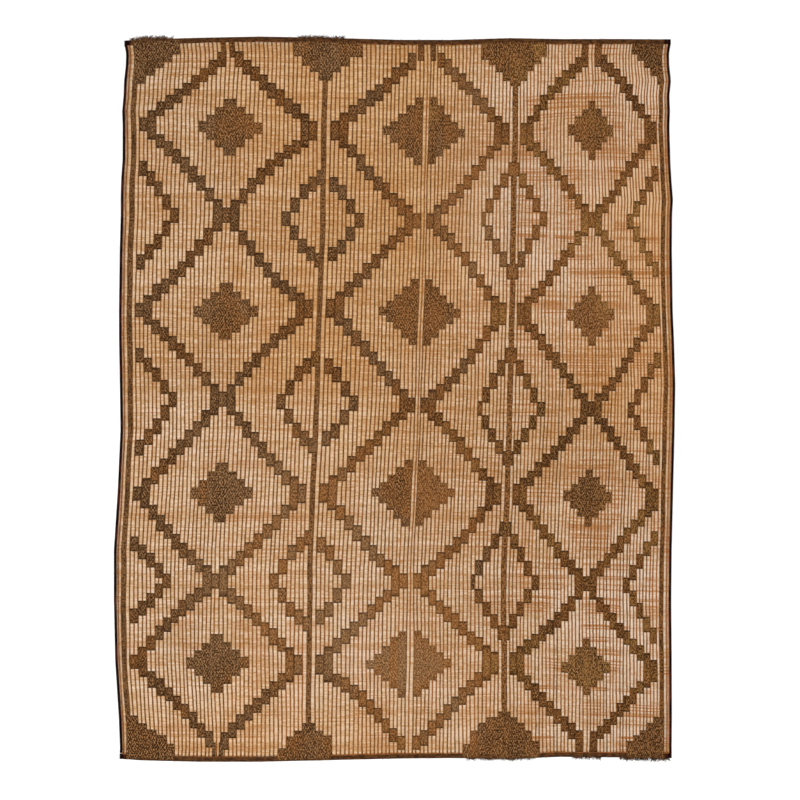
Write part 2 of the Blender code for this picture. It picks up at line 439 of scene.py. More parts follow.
def aged(column, level, places):
    """How much of one kind of ageing there is, summed over its spots and slopes."""

    def slope(reading, stops):
        if len(stops) == 3:
            return (reading - stops[2]).size().between(*stops[:2])
        return reading.between(*stops)

    total = 0.0
    for place in places:
        if isinstance(place, Spot):
            aside = (column - place.column) * (1 / place.wide)
            up = (level - place.level) * (1 / place.high)
            share = (aside * aside + up * up).between(1.0, 0.0)
        else:
            share = slope(column, place.columns) * slope(level, place.levels)
        total = share * place.strength + total
    return total


def reed_finish(name, back):
    """Dry split reed: paler and darker canes with fine grain, stained rust where the thongs press, with
    shade painted there as well.
    """
    finish, start = start_finish(name)
    column, level = read_map(start, "weave")
    tone = (level * (1 / REED_PITCH)).wave() * 0.4 if back else read_value(start, "tone")
    grain = speckle(start, (14.0, 300.0, 1.0)).between(0.3, 0.7)
    cell_place = {0: column.maths("FLOOR", column) * 5.3, 1: level * 150.0}
    cell = start.make("ShaderNodeCombineXYZ", None, cell_place)
    cells = start.make("ShaderNodeTexNoise", None, {"Vector": cell, "Scale": 1.0, "Detail": 3.0})
    cells = cells.between(0.32, 0.68)
    cloud = speckle(start, (5.0, 3.0, 1.0), 3.0)
    near_thong = 1.0 - column.wave()
    gold = aged(column, level, GOLDEN_REED) + speckle(start, (2.2, 2.2, 1.0)).between(0.35, 0.65) * 0.28
    age = tone * 0.92 + cells * 0.64 + grain * 0.36 + cloud * 0.6 - 0.72
    age = age + aged(column, level, DULL_REED) * 0.07 - aged(column, level, BLEACHED_REED) * 0.17
    colour = blend(age.between(0.0, 0.55), REED_CREAM, REED_PALE)
    colour = blend(age.between(0.45, 1.1), colour, REED_STRAW)
    colour = blend(gold.larger(0.0), colour, GOLDEN, "MULTIPLY")
    # rust stain and painted shade on each column's sides beside the thongs, so the middle of each column
    # stays lighter
    colour = blend(near_thong.between(0.38, 0.92) * (0.4 + cells * 0.5), colour, REED_STAIN_AND_SHADE)
    if back:
        thong = near_thong.between(0.62, 0.78)
        colour = blend(thong * 0.85, colour, BACK_THONG)
        relief = (level * (1 / REED_PITCH)).wave() * 0.5 + thong * 0.5
    else:
        dyed = read_value(start, "dyed") * speckle(start, (7.0, 5.0, 1.0)).between(0.42, 0.58)
        dyed = dyed * (0.75 + column.between(80.0, 115.0) * 0.7)  # the right side has more dyed canes
        colour = blend(dyed, colour, REED_DYED)
        relief = column.wave().between(0.1, 0.9) * 0.8 + grain * 0.2
    close_finish(start, colour, 0.62 + grain * 0.2, relief, 0.0009)
    return finish


def ground_of_reeds():
    """The ground as one closed slab: a back with a ridge for each thong, and a plain top."""
    columns = np.linspace(0, COLUMNS, 2 * COLUMNS + 1)
    levels = np.linspace(ROW_LEVELS[0], ROW_LEVELS[-1], GROUND_ROWS + 1)
    column, level = np.meshgrid(columns, levels)
    at_thong = (np.arange(len(columns)) % 2 == 0)[None, :]
    top = mat_point(column, level, GROUND_TOP)
    back = mat_point(column, level, np.where(at_thong, 0.0, GROUND_BACK) + 0 * level)
    points = np.concatenate([top.reshape(-1, 3), back.reshape(-1, 3)])
    rows, across = column.shape
    index = np.arange(rows * across).reshape(rows, across)
    shift = rows * across
    upper = np.stack([index[:-1, :-1], index[:-1, 1:], index[1:, 1:], index[1:, :-1]], -1).reshape(-1, 4)
    lower = upper[:, ::-1] + shift
    ring = np.concatenate([index[0, :-1], index[:-1, -1], index[-1, :0:-1], index[:0:-1, 0]])
    wall = np.stack([ring, ring + shift, np.roll(ring, -1) + shift, np.roll(ring, -1)], -1)
    # The baked map has the top on its left half, the back on its right half and the wall above both
    share = (level - levels[0]) / (levels[-1] - levels[0])
    flat = np.stack([column / COLUMNS, share * 0.98], -1).reshape(-1, 2)
    top_map = flat * (0.49, 1.0)
    back_map = flat * (0.49, 1.0) + (0.5, 0.0)
    place = np.arange(len(ring)) / len(ring)
    after = place + 1 / len(ring)
    corners = ((place, 0.985), (place, 0.995), (after, 0.995), (after, 0.985))
    wall_map = np.stack([np.stack([x, 0 * x + y], -1) for x, y in corners], axis=1)
    bakes = [top_map[upper], back_map[lower - shift], wall_map]
    paint = reed_finish("reed_back", True)
    piece = mesh_piece("woven_ground", points, [upper, lower, wall], bakes, paint)
    lay_map(piece, "weave", (2, *column.shape), column, level)
    return piece


ground = ground_of_reeds()
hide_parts("woven_sheet")
laid_on_ground = []


# The reeds: a thousand lines of cane laid one against the next. Each line takes two canes, end to end.
# No two have the same tone, and some were dyed rust. They are bundled here by their place along the mat.
REED_BUNDLES = 8
REED_RINGS = 25
REED_FOOT = GROUND_TOP - 0.0002
REED_CREST = 0.0039
REED_HALF = REED_PITCH / 2
REED_JOIN = (42, 102)  # between these columns one cane ends and the next goes on
REED_JOIN_GAP = 0.1  # of a column
REED_FILL = (0.86, 0.99)  # the share of its pitch that a cane fills
REED_SWAY = 0.00012
REED_CREST_SPREAD = 0.00013
TONE_SHAPE = (2.0, 2.6)
TONE_DRIFT = 0.22
DRIFT_REEDS = 9  # neighbouring reeds drift in tone together
DYED_SHARE = 0.18
DYED_STRENGTH = (0.5, 1.0)
rng = np.random.default_rng(7)


def drawn_piece(name, lines, section, finish, slot, bake_row=None, bake_run=None):
    """A piece of closed lengths, each drawn along its line as seen from above: (lengths, rings, 2).
    The section holds offsets to the left of the line, and heights: (lengths, rings, corners). Its corners
    run over the top from left to right."""
    offsets, heights = section
    lengths, rings, corners = offsets.shape
    heading = np.gradient(lines, axis=1)
    heading /= np.linalg.norm(heading, axis=2, keepdims=True)
    left = np.stack([-heading[..., 1], heading[..., 0]], -1)
    flat = lines[:, :, None, :] + left[:, :, None, :] * offsets[..., None]
    points = np.concatenate([flat, np.broadcast_to(heights, offsets.shape)[..., None]], -1)
    index = np.arange(lengths * rings * corners).reshape(lengths, rings, corners)
    beside = np.roll(index, -1, axis=2)
    sides = np.stack([index[:, :-1], beside[:, :-1], beside[:, 1:], index[:, 1:]], -1)
    caps = np.concatenate([index[:, 0, ::-1], index[:, -1]])
    # On the baked map each side of a length has its own strip, and the end caps lie above all strips
    bake_row = np.arange(lengths) if bake_row is None else bake_row
    run = np.broadcast_to(np.linspace(0, 1, rings), (lengths, rings)) if bake_run is None else bake_run
    strips = (bake_row.max() + 1) * corners
    low = (bake_row[:, None] * corners + np.arange(corners)) / strips * 0.97
    high = low + 0.88 / strips
    shape = (lengths, rings - 1, corners)
    start_run = np.broadcast_to(run[:, :-1, None], shape)
    end_run = np.broadcast_to(run[:, 1:, None], shape)
    low, high = np.broadcast_to(low[:, None], shape), np.broadcast_to(high[:, None], shape)
    quad = ((start_run, low), (start_run, high), (end_run, high), (end_run, low))
    bake_sides = np.stack([np.stack(pair, -1) for pair in quad], -2)
    turn = np.arange(corners) / corners * 2 * np.pi
    middle = (np.arange(2 * lengths)[:, None] + 0.5) / (2 * lengths)
    across = middle + np.cos(turn) * min(0.4 / (2 * lengths), 0.006)
    bake_caps = np.stack([across, 0.986 + 0.006 * np.sin(turn) + 0 * across], -1)
    bakes = [bake_sides.reshape(-1, 4, 2), bake_caps]
    return mesh_piece(name, points.reshape(-1, 3), [sides.reshape(-1, 4), caps], bakes, finish)


def drawn_cane(name, lines, half_width, base, crest, *others):
    """A piece of closed lengths with a three-cornered section: left foot, crest, right foot."""
    half_width, base, crest = np.broadcast_arrays(half_width, base, crest)
    section = np.stack([half_width, 0 * half_width, -half_width], -1), np.stack([base, crest, base], -1)
    return drawn_piece(name, lines, section, *others)


def lay_value(piece, name, shape, values):
    """One number for each of the piece's points, which lie in that shape. A finish reads it by name."""
    attribute = piece.data.attributes.new(name, "FLOAT", "POINT")
    attribute.data.foreach_set("value", np.broadcast_to(values, shape).astype(np.float32).ravel())


reed_paint = reed_finish("reed_cane", False)
reed_levels = np.arange(ROW_LEVELS[0] + REED_HALF, ROW_LEVELS[-1], REED_PITCH)
joins = rng.uniform(*REED_JOIN, len(reed_levels))
drift = rng.normal(0, 1, len(reed_levels) + DRIFT_REEDS - 1)
drift = np.clip(np.convolve(drift, np.ones(DRIFT_REEDS) / 5, "valid"), -1, 1)
for bundle, rows in enumerate(np.array_split(np.arange(len(reed_levels)), REED_BUNDLES)):
    start_column = np.concatenate([0 * joins[rows], joins[rows] + REED_JOIN_GAP])
    end_column = np.concatenate([joins[rows] - REED_JOIN_GAP, 0 * joins[rows] + COLUMNS])
    levels = np.tile(reed_levels[rows], 2)[:, None]
    share = np.linspace(0, 1, REED_RINGS)[None]
    column = start_column[:, None] + (end_column - start_column)[:, None] * share
    level = levels + rng.normal(0, REED_SWAY, column.shape)
    half = REED_HALF * rng.uniform(*REED_FILL, (len(levels), 1)) + 0 * column
    crest = REED_CREST + rng.normal(0, REED_CREST_SPREAD, (len(levels), 1)) + 0 * column
    lines = mat_point(column, level, 0)[..., :2]
    bake_at = np.tile(np.arange(len(rows)), 2), column / COLUMNS
    piece = drawn_cane(f"reeds_{bundle + 1}", lines, half, REED_FOOT, crest, reed_paint, "reed", *bake_at)
    shape = (*column.shape, 3)
    lay_map(piece, "weave", shape, column[..., None], level[..., None])
    tone = np.clip(rng.beta(*TONE_SHAPE, len(levels)) + TONE_DRIFT * np.tile(drift[rows], 2), 0, 1)
    dyed = np.where(rng.random(len(levels)) < DYED_SHARE, rng.uniform(*DYED_STRENGTH, len(levels)), 0)
    dyed = np.maximum(dyed, np.roll(dyed, 1) * 0.9)  # a dyed cane is as a rule laid double
    lay_value(piece, "tone", shape, tone[:, None, None])
    lay_value(piece, "dyed", shape, dyed[:, None, None])
    laid_on_ground.append(piece)


# The thongs: narrow strips of rust-brown goatskin that run the whole length and hold every reed down.
# One lies between every two columns of bare reed. They are worn and pull a little from side to side.
THONG_BUNDLES = 4
THONG_RINGS = 200
THONG_HALF = 0.0026
THONG_BASE = 0.0033
THONG_CREST = 0.0044
THONG_CREST_SPREAD = 0.0001
THONG_WIDTHS = (0.85, 1.15)  # as shares of its usual width
THONG_SWAY = 0.022  # of a column
THONG_OVER = 0.002  # how far a thong runs in under the band
THONG_LOOPS = 95.0  # over and under the reeds, in each metre
THONG_DARK = (0.083, 0.027, 0.004, 1.0)
THONG_RUST = (0.25, 0.082, 0.014, 1.0)
THONG_DUST = (0.38, 0.19, 0.07, 1.0)
FADED_TO_RIGHT = 0.27  # from the left side to the right
FADED_THONG = (
    Slope((55.0, 100.0), (-0.2, 0.5), 0.2),
    Slope((5.0, 30.0), (-0.2, -1.0), 0.12),
    Slope((95.0, 115.0), (-0.2, -1.0), -0.12),
    Slope((137.0, 141.0), EVERYWHERE, 0.5),
)


def thong_finish():
    finish, start = start_finish("thong_goatskin")
    column, level = read_map(start, "weave")
    tone = read_value(start, "tone")
    patch = speckle(start, (70.0, 40.0, 1.0), 3.0)
    loops = (level * THONG_LOOPS + column * 0.5 + patch * 3.0).wave()
    faded = column * (FADED_TO_RIGHT / COLUMNS) + aged(column, level, FADED_THONG)
    colour = blend((tone * 0.4 + patch + faded - 0.58).between(0.1, 0.7), THONG_DARK, THONG_RUST)
    colour = blend(loops.between(0.5, 1.0) * 0.6, colour, THONG_DUST)
    close_finish(start, colour, 0.55 + patch * 0.25, loops, 0.0006)
    return finish


thong_paint = thong_finish()
for bundle, columns in enumerate(np.array_split(np.arange(1, COLUMNS), THONG_BUNDLES)):
    level = np.linspace(ROW_LEVELS[0] - THONG_OVER, ROW_LEVELS[-1] + THONG_OVER, THONG_RINGS)[None]
    column = columns[:, None] + rng.normal(0, THONG_SWAY, (len(columns), THONG_RINGS))
    half = THONG_HALF * rng.uniform(*THONG_WIDTHS, column.shape)
    lines = mat_point(column, level, 0)[..., :2]
    crest = THONG_CREST + rng.normal(0, THONG_CREST_SPREAD, column.shape)
    piece = drawn_cane(f"thongs_{bundle + 1}", lines, half, THONG_BASE, crest, thong_paint, "thong_leather")
    shape = (*column.shape, 3)
    lay_map(piece, "weave", shape, columns[:, None, None], level[..., None])
    lay_value(piece, "tone", shape, rng.random((len(columns), 1, 1)))
    laid_on_ground.append(piece)


# The stepped diamonds: brown leather woven over and under the reeds in blocks that are two columns wide.
# Fine lines of bare reed draw small diamonds inside each block.
PATTERN_BASE = 0.0034
PATTERN_TOP = 0.0049
BLOCK_PROFILE = np.array((0.0, 0.55, 0.88, 1.0, 1.0, 0.88, 0.55, 0.0))
BLOCK_SHARES = np.array((-0.015, 0.0, 0.13, 0.38, 0.62, 0.87, 1.0, 1.015))
STRIP_DARK = (0.022, 0.007, 0.001, 1.0)
STRIP_RUST = (0.165, 0.056, 0.011, 1.0)
STRIP_GOLD = (0.215, 0.095, 0.021, 1.0)
STRIP_GREY = (0.135, 0.067, 0.028, 1.0)
LINE_REED = (0.52, 0.28, 0.12, 1.0)
DIAMOND_LEAN = 0.55  # how much wider than tall the small diamonds are
NET_COUNT = 1.6  # lines of the fine net in each column
FADED_LEATHER = (
    Spot(115.0, 0.5, 50.0, 0.65, 0.2),
    Spot(144.0, 0.55, 18.0, 0.7, 0.12),
    Spot(76.0, -1.0, 24.0, 0.45, 0.45),
    Spot(80.0, -0.36, 12.0, 0.3, 0.2),
)
FADED_ARMS = (Spot(50.0, -0.65, 40.0, 0.65, 0.42), Spot(82.0, 0.85, 30.0, 0.6, 0.26))
DARK_LEATHER = (
    Slope((44.0, 70.0), EVERYWHERE, -0.11),
    Slope((86.0, 92.0), EVERYWHERE, 0.11),
    Slope((22.0, 8.0), EVERYWHERE, 0.07),
    Slope((54.0, 64.0, 72.0), (1.05, 1.2, 0.0), 0.16),
    Spot(144.0, 1.3, 16.0, 0.16, 0.14),
    Spot(115.0, -0.15, 20.0, 0.4, 0.35),
)
LESS_DARK_FILLED = (Spot(115.0, -0.15, 20.0, 0.4, 0.15),)
TINT_LEFT, TINT_RISE, TINT_SPREAD = 0.12, 0.6, 0.07  # greyer to the left, more golden to the right
RIM = 0.6  # a block is dark where it is lower than this share of its height

Patch = namedtuple("Patch", "first last low high")  # from column to column and from level to level


def pattern_finish():
    finish, start = start_finish("pattern_strips")
    column, level = read_map(start, "weave")
    aside, rise = read_map(start, "block")
    tint, shade, rim = (read_value(start, name) for name in ("tint", "shade", "rim"))
    lattice = read_value(start, "lattice")
    wear = speckle(start, (60.0, 60.0, 1.0), 3.0).between(0.3, 0.7)
    worn = speckle(start, (16.0, 12.0, 1.0), 3.0).between(0.35, 0.65)
    area = speckle(start, (2.6, 2.6, 1.0)).between(0.25, 0.75)
    tint = tint + area * 0.7 - 0.35
    specks = speckle(start, (150.0, 150.0, 1.0)).between(0.41, 0.59)
    jitter = speckle(start, (60.0, 60.0, 1.0), 1.0)
    rings = ((aside.size() + rise.size() * DIAMOND_LEAN) * 1.4 + jitter * 0.15).wave()
    up = level * (DIAMOND_LEAN / COLUMN_WIDTH)
    across_net = (column + jitter * 0.7) * NET_COUNT
    netting = (across_net + up * NET_COUNT).wave().larger((across_net - up * NET_COUNT).wave())
    bare = netting.between(0.72, 1.0) * (1.0 - (1.0 - lattice) * (1.0 - rings) * 0.75)
    leather = blend(tint.between(0.1, 0.45), STRIP_GREY, STRIP_RUST)
    leather = blend(tint.between(0.55, 0.9), leather, STRIP_GOLD)
    faded = aged(column, level, FADED_LEATHER) + aged(column, level, FADED_ARMS) * (1.0 - lattice)
    darkness = shade * 0.18 + worn * 0.28 + wear * 0.1 + specks * 0.66 - 0.03
    darkness = darkness + aged(column, level, DARK_LEATHER) - aged(column, level, LESS_DARK_FILLED) * lattice
    leather = blend((darkness - faded).larger(specks * 0.28), leather, STRIP_DARK)
    leather = blend((1.0 - specks) * faded.between(0.0, 0.6) * 0.17, leather, LINE_REED)
    colour = blend(bare * (0.1 + (1.0 - specks) * 0.85), leather, LINE_REED)
    colour = blend(rim * (0.8 - lattice * 0.5), colour, STRIP_DARK)
    close_finish(start, colour, 0.72 - bare * 0.1, 1.0 - bare, 0.0007)
    return finish


pattern_paint = pattern_finish()


def pillows(name, points, finish):
    """One piece of pillowed patches: points are (patches, size, size, 3), across the mat on the third axis.
    Each patch is closed below by one face and has its own cell on the baked map."""
    count, size = points.shape[:2]
    index = np.arange(count * size * size).reshape(count, size, size)
    quads = np.stack([index[:, :-1, :-1], index[:, :-1, 1:], index[:, 1:, 1:], index[:, 1:, :-1]], -1)
    quads = quads.reshape(-1, 4)
    ring = [index[:, 0, :-1], index[:, :-1, -1], index[:, -1, :0:-1], index[:, :0:-1, 0]]
    under = np.concatenate(ring, axis=1)[:, ::-1]
    grid = int(np.ceil(np.sqrt(count)))
    steps = np.linspace(0.03, 0.97, size)
    cell = np.stack([np.arange(count) % grid, np.arange(count) // grid], -1)[:, None, None, :]
    above = np.stack(np.broadcast_arrays(steps[None, :], steps[:, None] * 0.8), -1)
    below = np.stack(np.broadcast_arrays(steps[None, :], 0.83 + steps[:, None] * 0.15), -1)
    above_map = ((cell + above) / grid).reshape(-1, 2)
    below_map = ((cell + below) / grid).reshape(-1, 2)
    bakes = [above_map[quads], below_map[under]]
    return mesh_piece(name, points.reshape(-1, 3), [quads, under], bakes, finish)


def inlay(name, patches, lattice, top=PATTERN_TOP):
    """One piece of woven patches. Its own numbers let the finish centre the small diamonds in each block."""
    patches = np.array(patches, float)
    count, size = len(patches), len(BLOCK_SHARES)
    first, last, low, high = (patches[:, k, None, None] for k in range(4))
    column = first + (last - first) * BLOCK_SHARES[None, None, :] + np.zeros((count, size, size))
    level = low + (high - low) * BLOCK_SHARES[None, :, None] + np.zeros((count, size, size))
    side_profile = np.sign(BLOCK_PROFILE) if lattice else BLOCK_PROFILE
    pillow = np.minimum(BLOCK_PROFILE[None, :, None], side_profile[None, None, :]) + 0 * column
    crown = top + rng.normal(0, 0.0001, (count, 1, 1))
    points = mat_point(column, level, PATTERN_BASE + (crown - PATTERN_BASE) * pillow)
    piece = pillows(name, points, pattern_paint)
    shape = column.shape
    lay_map(piece, "weave", shape, column, level)
    aside, rise = column - (first + last) / 2, (level - (low + high) / 2) / COLUMN_WIDTH
    lay_map(piece, "block", shape, aside, rise)
    lay_value(piece, "rim", shape, pillow < RIM)
    lay_value(piece, "lattice", shape, lattice)
    tint = rng.normal(TINT_LEFT + TINT_RISE * first / COLUMNS, TINT_SPREAD)
    lay_value(piece, "tint", shape, np.clip(tint, 0, 1))
    lay_value(piece, "shade", shape, rng.random((count, 1, 1)))
    laid_on_ground.append(piece)


TIP_BLOCK = 0  # an arm's blocks are counted from the tip of its diamond, beside a stripe, to the crossing
CROSS_BLOCK = 10
ARM_HALF = 0.028  # half the height of most blocks
TALL_HALF = 0.058  # of the blocks beside a crossing
SECOND_CENTRE = 0.068  # from the tip's middle to the middle of block 2
LAST_CENTRE = 0.064  # from the crossing to the middle of block 8
END_STEP = {"top": 0.0275, "bottom": 0.030}  # from block to block where the band cuts the arm short
BOW_SPREAD, BLOCK_SWAY, HALF_SPREAD = 0.003, 0.0022, 0.002  # the weaver's unevenness
# How far the middles of the arms lie off a straight line, away from the tips: a row for each diamond
ArmBows = namedtuple("ArmBows", "left_above right_above left_below right_below")
ARM_BOWS = (
    (
        ArmBows(-0.012, -0.008, -0.027, -0.026),
        ArmBows(-0.003, 0.008, 0.030, 0.020),
        ArmBows(0.013, 0.025, -0.006, 0.006),
    ),
    (
        ArmBows(-0.017, -0.023, -0.018, -0.026),
        ArmBows(0.020, 0.022, 0.002, 0.022),
        ArmBows(-0.006, -0.006, -0.004, 0.014),
    ),
    (
        ArmBows(-0.008, -0.015, 0.016, 0.016),
        ArmBows(0.012, 0.018, 0.025, 0.025),
        ArmBows(0.000, 0.011, -0.002, 0.002),
    ),
    (
        ArmBows(0.018, 0.005, -0.012, -0.012),
        ArmBows(0.007, -0.001, -0.034, -0.012),
        ArmBows(-0.007, -0.013, 0.008, 0.011),
    ),
)

Field = namedtuple("Field", "first last left_tip right_tip left_second right_second parted")
FIELDS = (
    Field(4, 46, 0.0264, 0.036, 0.055, 0.063, False),
    Field(49, 95, 0.036, 0.0415, 0.065, 0.065, True),
    Field(98, 140, 0.0415, 0.0415, 0.065, 0.065, False),
)
TIP_ROWS = [LEVEL[f"diamonds_{k}"] for k in (1, 2, 3, 4)]
CROSS_ROWS = [LEVEL[f"crossing_{k}"] for k in (1, 2, 3)]


def patch_at(first, last, middle, half=ARM_HALF):
    return Patch(first, last, middle - half, middle + half)


def block(field, side, number, middle, half):
    """One block of an arm, from the left or the right tip of a field's diamond."""
    first = field.first + 2 * number if side == "left" else field.last - 2 * number - 2
    return patch_at(first, first + 2, middle, half)


def arm(field, side, tip, toward, bow):
    """The blocks from a diamond's tip to the crossing at that level, or to the band at an end."""
    way = 1 if toward > tip else -1
    bow = bow + rng.normal(0, BOW_SPREAD)
    if toward in CROSS_ROWS:
        numbers = np.arange(2, 9)
        middles = np.linspace(SECOND_CENTRE, abs(toward - tip) - LAST_CENTRE, len(numbers))
    else:
        numbers = np.arange(2, 10)
        middles = SECOND_CENTRE + END_STEP["top" if way > 0 else "bottom"] * (numbers - 2)
    middles = middles + bow * np.sin((numbers - 1) / 9 * np.pi) + rng.normal(0, BLOCK_SWAY, len(numbers))
    halves = ARM_HALF + rng.normal(0, HALF_SPREAD, len(numbers))
    return [block(field, side, n, tip + way * m, half) for n, m, half in zip(numbers, middles, halves)]


for number, tip in enumerate(TIP_ROWS):
    above = CROSS_ROWS[number - 1] if number else LEVEL["top"]
    below = CROSS_ROWS[number] if number < len(CROSS_ROWS) else LEVEL["bottom"]
    blocks = []
    for field, bows_here in zip(FIELDS, ARM_BOWS[number]):
        for side in ("left", "right"):
            blocks.append(block(field, side, TIP_BLOCK, tip, getattr(field, f"{side}_tip")))
            blocks.append(block(field, side, TIP_BLOCK + 1, tip, getattr(field, f"{side}_second")))
            blocks += arm(field, side, tip, above, getattr(bows_here, f"{side}_above"))
            blocks += arm(field, side, tip, below, getattr(bows_here, f"{side}_below"))
            if below in CROSS_ROWS:
                blocks.append(block(field, side, CROSS_BLOCK - 1, below, TALL_HALF))
                if side == "left" or field.parted:
                    blocks.append(block(field, side, CROSS_BLOCK, below, ARM_HALF))
    inlay(f"diamond_blocks_{number + 1}", blocks, 0)


# The filled diamonds: one in the middle of each large diamond, woven as seven strips or more side by side.
# The seam thong and the two bare columns beside it part each of the middle ones in two.
Strips = namedtuple("Strips", "sides reaches")  # the columns of the strips' sides, and how far each reaches
STRIP_SWAY = 0.0015
OUTER_REACHES = (0.0207, 0.047, 0.075)
INNER_REACHES = (0.0162, 0.0392, 0.064, 0.0943, 0.1225)
FILLED = (
    Strips((18, 20, 22, 24, 27, 29, 31, 33), (*OUTER_REACHES, 0.1056, *OUTER_REACHES[::-1])),
    Strips((61, 63, 65, 67, 69, 71), INNER_REACHES),
    Strips((73, 75, 77, 79, 81, 83), INNER_REACHES[::-1]),
    Strips((112, 114, 116, 118, 120, 122, 124, 126), (*OUTER_REACHES, 0.1074, *OUTER_REACHES[::-1])),
)


def one_by_one(strips):
    """The first and the last column and the reach of each strip."""
    return zip(strips.sides, strips.sides[1:], strips.reaches)


filled = []
for tip in TIP_ROWS:
    for strips in FILLED:
        for first, last, reach in one_by_one(strips):
            filled.append(patch_at(first, last, tip + rng.normal(0, STRIP_SWAY), reach))
inlay("filled_diamonds", filled, 1)


# The small diamonds on the two dark lines, and the half diamonds beside the outer stripes.
# They are woven as the large ones are, one line of blocks thick, beside each crossing.
Stair = namedtuple("Stair", "near far rise")  # columns out from the line, and how far up and down
LEFT_STAIRS = (
    Stair(-1.5, 0.5, 0.162), Stair(1.5, 3.5, 0.136), Stair(3.5, 5.5, 0.106), Stair(5.5, 7.5, 0.053),
)
RIGHT_STAIRS = (
    Stair(-1.5, 1.5, 0.196), Stair(1.5, 3.5, 0.151), Stair(3.5, 5.5, 0.104), Stair(5.5, 7.5, 0.053),
)
TIP_START = 7.5  # columns out from the line
LEFT_TIP_STOP, RIGHT_TIP_STOP = 9.5, 8.5  # where the tip to the left of that line ends
# How far up and down the pairs of blocks of a half diamond lie, from the stripe to the tip
HALF_LEFT = (0.173, 0.136, 0.098, 0.049, 0.0)
HALF_RIGHT = (0.181, 0.140, 0.091, 0.047, 0.0)
LAST_HALF_LEFT_SHARE = 0.8  # the lowest half diamond on the left is squeezed
small = []
for crossing in CROSS_ROWS:
    for line, stairs, left_stop in (
        (LEFT_LINE, LEFT_STAIRS, LEFT_TIP_STOP),
        (RIGHT_LINE, RIGHT_STAIRS, RIGHT_TIP_STOP),
    ):
        for stair in stairs:
            for middle in (crossing + stair.rise, crossing - stair.rise):
                small.append(patch_at(line + stair.near, line + stair.far, middle))
                if stair.near > 0:
                    small.append(patch_at(line - stair.far, line - stair.near, middle))
        small.append(patch_at(line + TIP_START, line + TIP_START + 2, crossing))
        small.append(patch_at(line - left_stop, line - TIP_START, crossing))
    squeeze = LAST_HALF_LEFT_SHARE if crossing == CROSS_ROWS[-1] else 1.0
    for start, step, rises, share in ((4, 2, HALF_LEFT, squeeze), (138, -2, HALF_RIGHT, 1.0)):
        for number, rise in enumerate(rises):
            for middle in sorted({crossing + rise * share, crossing - rise * share}):
                place = start + step * number
                small.append(patch_at(place, place + 2, middle))
inlay("small_diamonds", small, 0)


# The fans and bars at the two ends: filled half diamonds and corners that run on over the bands.
# A pair of short bars stands where the arms of each large diamond are cut off.
TOP_FANS = (
    Strips((1.85, 5, 7, 9, 11, 13), (0.155, 0.123, 0.094, 0.069, 0.040)),
    Strips((40, 42, 44, 46, 49, 51, 53, 56), (0.049, 0.083, 0.1056, 0.136, 0.1056, 0.083, 0.049)),
    Strips(
        (87, 89, 91, 93, 95, 98, 100, 102, 104, 105.5),
        (0.058, 0.075, 0.10, 0.13, 0.147, 0.13, 0.096, 0.072, 0.047),
    ),
    Strips((132, 134, 136, 138, 140, 142.1), (0.036, 0.06, 0.085, 0.115, 0.145)),
)
BOTTOM_FANS = (
    Strips((1.85, 5, 7.2, 9.5, 11.8, 13.8), (0.136, 0.11, 0.089, 0.072, 0.041)),
    Strips((40, 42, 44, 46, 49, 51, 53), (0.026, 0.068, 0.09, 0.117, 0.09, 0.072)),
    Strips(
        (86, 88, 90, 92, 95, 98, 100, 102, 104, 106),
        (0.034, 0.083, 0.111, 0.132, 0.151, 0.132, 0.111, 0.083, 0.045),
    ),
    Strips((131, 133, 135, 137, 139, 142.1), (0.045, 0.068, 0.09, 0.12, 0.147)),
)
TOP_BARS = ((23, 24), (25, 26), (69.5, 71), (73, 74.5), (116, 118), (120, 122))  # their two columns
TOP_BAR_REACH = 0.058
Bar = namedtuple("Bar", "first last reach")
BOTTOM_BARS = (Bar(23.7, 24.7, 0.049), Bar(25.6, 26.6, 0.049), Bar(116, 118, 0.06), Bar(120, 122, 0.06))
SEAM_BLOCKS = (69, 73)  # the first columns of the last pair of blocks beside the seam, just over the band
SEAM_BLOCK_LOW, SEAM_BLOCK_HIGH = 0.014, 0.065  # from the bottom band's inner side
TOP_FAN_OVER, BOTTOM_FAN_OVER = 0.005, 0.018  # how far a fan runs on over the end's band
TOP_LEFT_OVER = 0.0185  # the filled corner at the top left runs on to the outer edge
FAN_TOP = 0.0057  # over the band's plait
fans = []
for strips in TOP_FANS:
    high = LEVEL["top"] + (TOP_LEFT_OVER if strips is TOP_FANS[0] else TOP_FAN_OVER)
    fans += [Patch(first, last, LEVEL["top"] - reach, high) for first, last, reach in one_by_one(strips)]
for strips in BOTTOM_FANS:
    low = LEVEL["bottom"] - BOTTOM_FAN_OVER
    fans += [Patch(first, last, low, LEVEL["bottom"] + reach) for first, last, reach in one_by_one(strips)]
inlay("end_fans", fans, 1, FAN_TOP)
bars = [Patch(first, last, LEVEL["top"] - TOP_BAR_REACH, LEVEL["top"]) for first, last in TOP_BARS]
bars += [Patch(bar.first, bar.last, LEVEL["bottom"], LEVEL["bottom"] + bar.reach) for bar in BOTTOM_BARS]
for first in SEAM_BLOCKS:
    bars.append(Patch(first, first + 2, LEVEL["bottom"] + SEAM_BLOCK_LOW, LEVEL["bottom"] + SEAM_BLOCK_HIGH))
inlay("end_bars", bars, 0)


